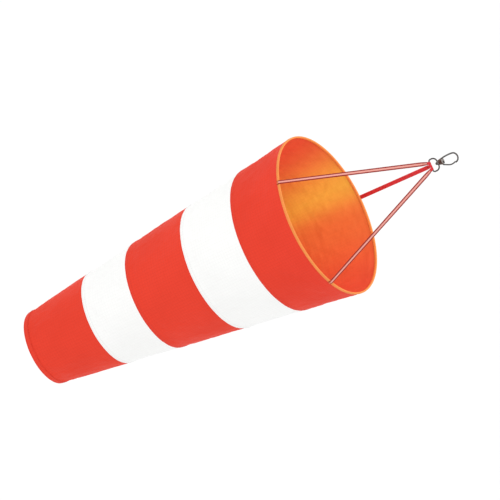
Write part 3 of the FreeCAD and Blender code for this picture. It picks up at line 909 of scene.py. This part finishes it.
def run_points(leg):
    """The tape's straight run, then its bend over the binding's shoulder and its end on the outer leg."""
    centres, acrosses, widths = [], [], []
    for step in range(RUN_STEPS + 1):
        distance = THROAT + (leg.length - THROAT) * step / RUN_STEPS
        share = distance / leg.length
        doubled = 1 - smooth(distance, LOOP_DOUBLED, LOOP_DOUBLED + 4 * MM)
        centres.append(leg.at(distance) + leg.outward(share) * (TAPE_THICK / 2 * doubled))
        acrosses.append(leg.across(share))
        widths.append(tape_width(distance))
    for step in range(1, 7):
        centres.append(leg.on_shoulder(leg.lean * (1 - step / 6)))
        acrosses.append(leg.tangent)
        widths.append(TAPE_WIDTH)
    for step in range(1, 4):
        depth = HOOP_DEPTH + (BINDING_HEIGHT - HOOP_DEPTH) * step / 3
        point = leg.out * (cone_radius(depth) + 0.56 * MM + TAPE_THICK / 2 + 0.05 * MM)
        point.z = MOUTH_Z - depth
        centres.append(point)
        acrosses.append(leg.tangent)
        widths.append(TAPE_WIDTH)
    return centres, acrosses, widths


def loop_points(leg):
    """Round the bar from the run's top and back down behind it, where it is sewn to itself."""
    radius = BAR_RADIUS + 0.12 * MM + TAPE_THICK / 2
    fall = Vector((0, leg.down.y, leg.down.z)).normalized()
    side = leg.outward(0.0)
    side = Vector((0, side.y, side.z)).normalized()
    meet = math.acos(radius / THROAT)
    centres = [leg.at(THROAT) + leg.outward(0.0) * (TAPE_THICK / 2)]
    turns = 20
    for step in range(turns + 1):
        turn = meet + (2 * math.pi - 2 * meet) * step / turns
        centres.append(leg.bar + fall * (radius * math.cos(turn)) + side * (radius * math.sin(turn)))
    acrosses = [Vector((1, 0, 0))] * (turns + 2)
    widths = [tape_width(THROAT)] + [LOOP_WIDTH] * (turns + 1)
    for step in range(9):
        distance = THROAT + (LOOP_DOUBLED - THROAT) * step / 8
        centres.append(leg.at(distance) - leg.outward(distance / leg.length) * (TAPE_THICK / 2))
        acrosses.append(leg.across(distance / leg.length))
        widths.append(tape_width(distance))
    return centres, acrosses, widths


def tack(name, centre, across, along, out, width, length, thread_rows, thread):
    """A bar-tack: threads side by side across the tape."""
    verts, faces = [], []
    for number in range(thread_rows):
        offset = (number / (thread_rows - 1) - 0.5) * length
        points = []
        for part in range(7):
            share = part / 6 - 0.5
            lift = 0.20 * MM * math.sin(math.pi * part / 6) - 0.08 * MM
            wander = 0.12 * MM * math.sin(3.7 * number + 2 * part)
            points.append(centre + across * (share * width) + along * (offset + wander) + out * lift)
        add_thread(verts, faces, points, THREAD * 1.1)
    return new_object(name, verts, faces, "sock", [thread])


def make_leg(name, bar_x, angle):
    leg = Leg(bar_x, angle)
    centres, acrosses, widths = run_points(leg)
    middle = RUN_STEPS // 2
    ahead = (centres[middle] - centres[middle - 1]).normalized()
    side = 1.0 if acrosses[middle].cross(ahead).dot(leg.outward(0.5)) > 0 else -1.0
    run = ribbon(f"tape_run_{name}", centres, acrosses, widths, [tape_painted_highlight, tape_plain], side)
    loop_centres, loop_acrosses, loop_widths = loop_points(leg)
    ahead = (loop_centres[1] - loop_centres[0]).normalized()
    away = 1.0 if loop_acrosses[0].cross(ahead).dot(leg.outward(0.0)) > 0 else -1.0
    loop = ribbon(
        f"tape_loop_{name}", loop_centres, loop_acrosses, loop_widths, [tape_plain, tape_plain], away)
    tacks = []
    tack_at = LOOP_DOUBLED - 5.5 * MM
    share = tack_at / leg.length
    for face, sign, cover, thread in (("front", 1.0, 0.48, pink_thread), ("back", -1.0, 0.8, red_thread)):
        out = leg.outward(share) * sign
        tacks.append(tack(
            f"loop_tack_{name}_{face}", leg.at(tack_at) + out * TAPE_THICK, leg.across(share), leg.down,
            out, cover * LOOP_WIDTH, 4.6 * MM, 12, thread))
    slant = Vector((0, 0, -1)) - leg.out * SLOPE
    depth = BINDING_HEIGHT - 1.6 * MM
    centre = leg.out * (cone_radius(depth) + 0.60 * MM + TAPE_THICK)
    centre.z = MOUTH_Z - depth
    rim = tack(
        f"rim_tack_{name}", centre, leg.tangent, slant, leg.out,
        TAPE_WIDTH - 1.2 * MM, 2.2 * MM, 6, orange_thread)
    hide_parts(f"bridle_tape_{name}")
    length = sum((b - a).length for a, b in zip(centres, centres[1:]))
    tuple(centres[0])
    [tuple(c) for c in centres]
    return tacks, rim


def make_bridle():
    loop_tacks, rim_tacks = [], []
    for name, bar_x, angle in LEGS:
        tacks, rim = make_leg(name, bar_x, angle)
        loop_tacks += tacks
        rim_tacks.append(rim)
    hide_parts("bridle_loop_tacks")
    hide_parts("bridle_rim_tacks")


# ---- metal parts -------------------------------------------------------------------------------------
HARDWARE = {
    "hook_bow": dark_metal, "swivel_barrel": barrel_metal, "gate_pin": dark_metal, "hook_gate": dark_metal,
    "gate_spring": spring_metal, "swivel_stud": bronze_metal, "swivel_washer": light_metal,
    "swivel_eye": dark_metal, "mouth_hoop": spring_metal, "hoop_ferrule": light_metal,
}


def finish_hardware():
    for name, material in HARDWARE.items():
        node = frame["nodes"][name]
        for slot in node.material_slots:
            slot.material = material


# ---- camera, lights and floor ------------------------------------------------------------------------
def make_camera():
    rise = math.radians(VIEW_ELEVATION)
    roll = math.radians(VIEW_ROLL)
    back = Vector((0, -math.cos(rise), math.sin(rise)))
    level = Vector((1, 0, 0))
    upward = back.cross(level)
    right = level * math.cos(roll) + upward * math.sin(roll)
    up = upward * math.cos(roll) - level * math.sin(roll)
    distance = VIEW_WIDTH * LENS / SENSOR
    aim = Vector((AIM_SIDE, 0, MOUTH_Z - AIM_DEPTH))
    camera = bpy.data.objects.new("camera", bpy.data.cameras.new("camera"))
    camera.data.lens = LENS
    camera.data.sensor_width = SENSOR
    camera.data.clip_end = 4 * distance
    place = Matrix((right, up, back)).transposed().to_4x4()
    place.translation = aim + back * distance
    camera.matrix_world = place
    bpy.context.scene.collection.objects.link(camera)
    bpy.context.scene.camera = camera


def area_light(name, position, target, size, power, spread=180.0):
    light = bpy.data.lights.new(name, "AREA")
    light.shape = "DISK"
    light.size = size
    light.energy = power
    light.spread = math.radians(spread)
    lamp = bpy.data.objects.new(name, light)
    lamp.location = position
    lamp.rotation_mode = "QUATERNION"
    lamp.rotation_quaternion = (Vector(target) - Vector(position)).to_track_quat("-Z", "Y")
    lamp.visible_camera = False
    bpy.context.scene.collection.objects.link(lamp)


def make_lights():
    world = bpy.context.scene.world or bpy.data.worlds.new("studio")
    bpy.context.scene.world = world
    world.use_nodes = True
    background = world.node_tree.nodes["Background"]
    background.inputs["Color"].default_value = (1.0, 1.0, 1.0, 1.0)
    background.inputs["Strength"].default_value = 1.03
    middle = (0, 0, MOUTH_Z - SOCK_LENGTH / 2)
    area_light("key", (-2.2, -2.6, 2.4), middle, 1.8, 20.0)
    area_light("inside", (0, 0, MOUTH_Z + 0.17), (0, 0, TAIL_Z), 0.04, 0.23, spread=96.0)


def make_floor():
    half = 15.0
    height = cad_low.z - 0.75
    corners = [(x * half, y * half, height) for x, y in ((-1, -1), (1, -1), (1, 1), (-1, 1))]
    mesh = bpy.data.meshes.new("floor")
    mesh.from_pydata(corners, [], [(0, 1, 2, 3)])
    nodes = Nodes("pale_floor")
    nodes.settings(Roughness=0.9, Specular_IOR_Level=0.1)
    tone = nodes.blend(nodes.noise(1.5, 2.0), (0.975, 0.975, 0.975), (0.985, 0.985, 0.985))
    nodes.join(tone, nodes.shader.inputs["Base Color"])
    mesh.materials.append(nodes.material)
    floor = bpy.data.objects.new("floor", mesh)
    bpy.context.scene.collection.objects.link(floor)


make_camera()
make_bridle()
make_bands()
make_lining()
make_binding()
make_hem()
finish_hardware()
make_lights()
make_floor()
bpy.context.scene.view_settings.view_transform = "Standard"
